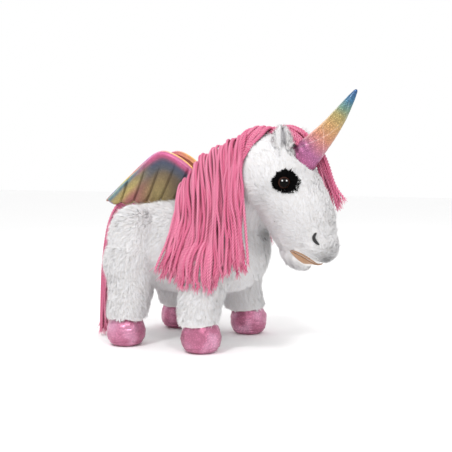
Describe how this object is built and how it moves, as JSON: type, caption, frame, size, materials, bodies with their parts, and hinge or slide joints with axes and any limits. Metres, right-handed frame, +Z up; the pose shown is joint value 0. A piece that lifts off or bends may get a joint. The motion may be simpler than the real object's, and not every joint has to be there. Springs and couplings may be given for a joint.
{
  "type": "plush unicorn",
  "caption": "Standing plush unicorn with soft white pile, hanging yarn mane and tail, curved iridescent horn, padded wings and glittery hooves.",
  "frame": {"origin": "on the ground, in the middle of the toy's outer box", "axes": "+X forward, towards the horn's tip; +Y to the animal's left; +Z up"},
  "size_m": [0.317, 0.1758, 0.2922],
  "materials": {
    "fur_white": "matte",
    "stuffing_fibre": "matte",
    "yarn_pink": "matte",
    "hoof_glitter": "satin",
    "horn_foil": "satin",
    "wing_foil_outer": "satin",
    "wing_foil_inner": "satin",
    "ear_satin": "satin",
    "patch_black": "matte",
    "thread_black": "satin",
    "mouth_suede": "matte",
    "eye_gloss": "gloss",
    "washer_plastic": "matte"
  },
  "bodies": {
    "torso": {"torso_skin": "fur_white", "torso_stuffing": "stuffing_fibre"},
    "neck": {"neck_skin": "fur_white", "neck_stuffing": "stuffing_fibre", "mane_tape": "yarn_pink", "mane_right": "yarn_pink", "mane_left": "yarn_pink"},
    "head": {"head_skin": "fur_white", "head_stuffing": "stuffing_fibre", "mouth_lining": "mouth_suede", "nostril_stitching": "thread_black", "eye_right": "eye_gloss", "eye_washer_right": "washer_plastic", "eye_patch_right": "patch_black", "eye_left": "eye_gloss", "eye_washer_left": "washer_plastic", "eye_patch_left": "patch_black", "horn_cover": "horn_foil", "horn_stuffing": "stuffing_fibre", "forelock": "yarn_pink"},
    "ear_right": {"ear_right_outer": "fur_white", "ear_right_lining": "ear_satin"},
    "ear_left": {"ear_left_outer": "fur_white", "ear_left_lining": "ear_satin"},
    "leg_front_right": {"leg_front_right_skin": "fur_white", "leg_front_right_stuffing": "stuffing_fibre", "hoof_front_right_cover": "hoof_glitter", "hoof_front_right_filling": "stuffing_fibre"},
    "leg_front_left": {"leg_front_left_skin": "fur_white", "leg_front_left_stuffing": "stuffing_fibre", "hoof_front_left_cover": "hoof_glitter", "hoof_front_left_filling": "stuffing_fibre"},
    "leg_hind_right": {"leg_hind_right_skin": "fur_white", "leg_hind_right_stuffing": "stuffing_fibre", "hoof_hind_right_cover": "hoof_glitter", "hoof_hind_right_filling": "stuffing_fibre"},
    "leg_hind_left": {"leg_hind_left_skin": "fur_white", "leg_hind_left_stuffing": "stuffing_fibre", "hoof_hind_left_cover": "hoof_glitter", "hoof_hind_left_filling": "stuffing_fibre"},
    "wing_right": {"wing_right_piping": "wing_foil_inner", "wing_right_outer_cloth": "wing_foil_outer", "wing_right_wadding": "stuffing_fibre", "wing_right_inner_cloth": "wing_foil_inner"},
    "wing_left": {"wing_left_piping": "wing_foil_inner", "wing_left_outer_cloth": "wing_foil_outer", "wing_left_wadding": "stuffing_fibre", "wing_left_inner_cloth": "wing_foil_inner"},
    "tail": {"tail_root": "yarn_pink", "tail_strands": "yarn_pink"}
  },
  "joints": [
    {"name": "neck_nod", "type": "hinge", "parent": "torso", "child": "neck", "pos_m": [0, 0, 0.15], "axis": [0, 1, 0], "range_deg": [-8, 8], "stiffness_Nm_per_rad": 3, "springref_deg": -2.86},
    {"name": "head_turn", "type": "hinge", "parent": "neck", "child": "head", "pos_m": [0.06189, 0, 0.19497], "axis": [0, 0, 1], "range_deg": [-12, 12], "stiffness_Nm_per_rad": 0.5},
    {"name": "ear_right_fold", "type": "hinge", "parent": "head", "child": "ear_right", "pos_m": [0.07891, -0.02669, 0.23038], "axis": [1, 0, 0], "range_deg": [-5, 25], "stiffness_Nm_per_rad": 0.02},
    {"name": "ear_left_fold", "type": "hinge", "parent": "head", "child": "ear_left", "pos_m": [0.07891, 0.02669, 0.23038], "axis": [-1, 0, 0], "range_deg": [-5, 25], "stiffness_Nm_per_rad": 0.02},
    {"name": "leg_front_right_swing", "type": "hinge", "parent": "torso", "child": "leg_front_right", "pos_m": [0, -0.046, 0.092], "axis": [0, 1, 0], "range_deg": [-12, 12], "stiffness_Nm_per_rad": 1.5},
    {"name": "leg_front_left_swing", "type": "hinge", "parent": "torso", "child": "leg_front_left", "pos_m": [0, 0.046, 0.092], "axis": [0, 1, 0], "range_deg": [-12, 12], "stiffness_Nm_per_rad": 1.5},
    {"name": "leg_hind_right_swing", "type": "hinge", "parent": "torso", "child": "leg_hind_right", "pos_m": [-0.098, -0.046, 0.095], "axis": [0, 1, 0], "range_deg": [-12, 12], "stiffness_Nm_per_rad": 1.5},
    {"name": "leg_hind_left_swing", "type": "hinge", "parent": "torso", "child": "leg_hind_left", "pos_m": [-0.098, 0.046, 0.095], "axis": [0, 1, 0], "range_deg": [-12, 12], "stiffness_Nm_per_rad": 1.5},
    {"name": "wing_right_flap", "type": "hinge", "parent": "torso", "child": "wing_right", "pos_m": [-0.063, -0.011, 0.1624], "axis": [1, 0, 0], "range_deg": [-4, 40], "stiffness_Nm_per_rad": 0.1},
    {"name": "wing_left_flap", "type": "hinge", "parent": "torso", "child": "wing_left", "pos_m": [-0.063, 0.011, 0.1624], "axis": [-1, 0, 0], "range_deg": [-4, 40], "stiffness_Nm_per_rad": 0.1},
    {"name": "tail_swing", "type": "hinge", "parent": "torso", "child": "tail", "pos_m": [-0.1132, 0, 0.15247], "axis": [0, 1, 0], "range_deg": [0, 16]}
  ]
}
